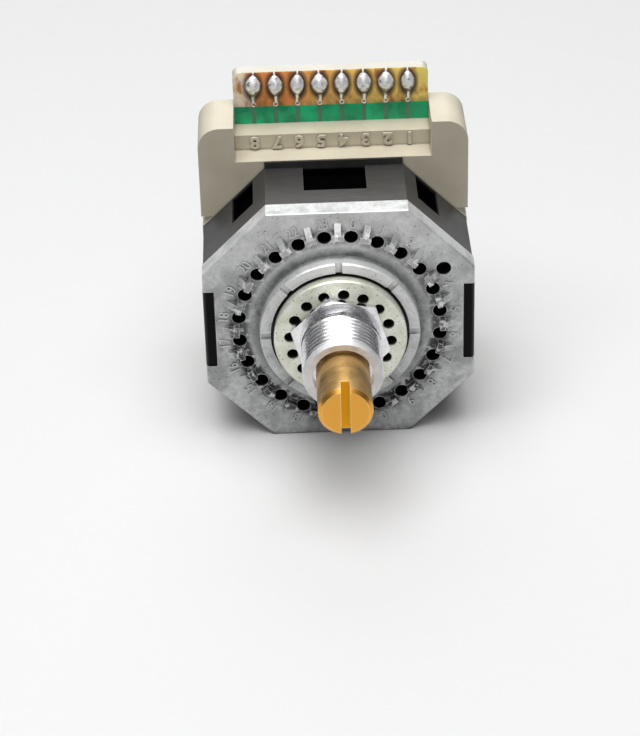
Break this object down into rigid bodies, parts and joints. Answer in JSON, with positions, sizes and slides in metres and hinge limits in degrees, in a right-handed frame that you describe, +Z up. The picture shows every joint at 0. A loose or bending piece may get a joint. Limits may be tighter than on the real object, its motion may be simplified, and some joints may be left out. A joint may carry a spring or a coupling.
{
  "type": "rotary switch",
  "caption": "Panel-mounted rotary switch: slotted brass shaft in a threaded bushing, octagonal die-cast plate with index holes, stacked housings and an upright board with solder terminals.",
  "frame": {"origin": "on the shaft's axis, in the plane of the bushing hexagon's front face, where a panel seats", "axes": "-Y along the shaft, out of the panel towards the user; +Z up, to the side of the solder terminals; +X to the right as the panel is faced"},
  "size_m": [0.0308, 0.0405, 0.0381],
  "materials": {
    "cast_plate": "fine as-cast, satin",
    "black_spring_steel": "blackened spring steel",
    "plated_disc": "pale yellow plating",
    "nickel_plating": "bright nickel plating",
    "dark_plastic": "dark grey moulding",
    "beige_plastic": "warm beige moulding",
    "board_laminate": "green mask, bare amber laminate at the top",
    "copper": "bare copper alloy",
    "tinned_pins": "tinned",
    "solder": "bright solder",
    "steel": "plain steel",
    "brass": "turned brass",
    "rubber": "black rubber",
    "white_plastic": "natural moulding",
    "ball_steel": "polished ball",
    "spring_wire": "drawn wire"
  },
  "bodies": {
    "housing": {"mounting_plate": "cast_plate", "snap_ring": "black_spring_steel", "index_washer": "plated_disc", "threaded_bushing": "nickel_plating", "front_housing": "dark_plastic", "notch_keys": "dark_plastic", "detent_ring": "steel", "stop_pin": "steel", "terminal_housing": "beige_plastic", "circuit_board": "board_laminate", "contact_tracks": "copper", "terminal_pins": "tinned_pins", "solder_joints": "solder", "rear_cover": "dark_plastic", "rear_bush": "brass", "assembly_screws": "steel"},
    "rotor": {"shaft": "brass", "shaft_seal": "rubber", "thrust_washer": "steel", "retaining_clip": "black_spring_steel", "stop_arm": "steel", "detent_rotor": "steel", "spacer_tube": "brass", "contact_rotor": "white_plastic", "contact_brushes": "copper", "detent_spring_top": "spring_wire", "detent_spring_bottom": "spring_wire"},
    "ball_top": {"detent_ball_top": "ball_steel"},
    "ball_bottom": {"detent_ball_bottom": "ball_steel"}
  },
  "joints": [
    {"name": "shaft_turn", "type": "hinge", "parent": "housing", "child": "rotor", "pos_m": [0, 0, 0], "axis": [0, 1, 0], "range_deg": [-165, 165]},
    {"name": "ball_top_slide", "type": "slide", "parent": "rotor", "child": "ball_top", "axis": [0, 0, -1], "range_m": [0, 0.00045], "stiffness_N_per_m": 50, "springref_m": -0.001, "deforming": ["detent_spring_top"]},
    {"name": "ball_bottom_slide", "type": "slide", "parent": "rotor", "child": "ball_bottom", "axis": [0, 0, 1], "range_m": [0, 0.00045], "stiffness_N_per_m": 50, "springref_m": -0.001, "deforming": ["detent_spring_bottom"]}
  ]
}
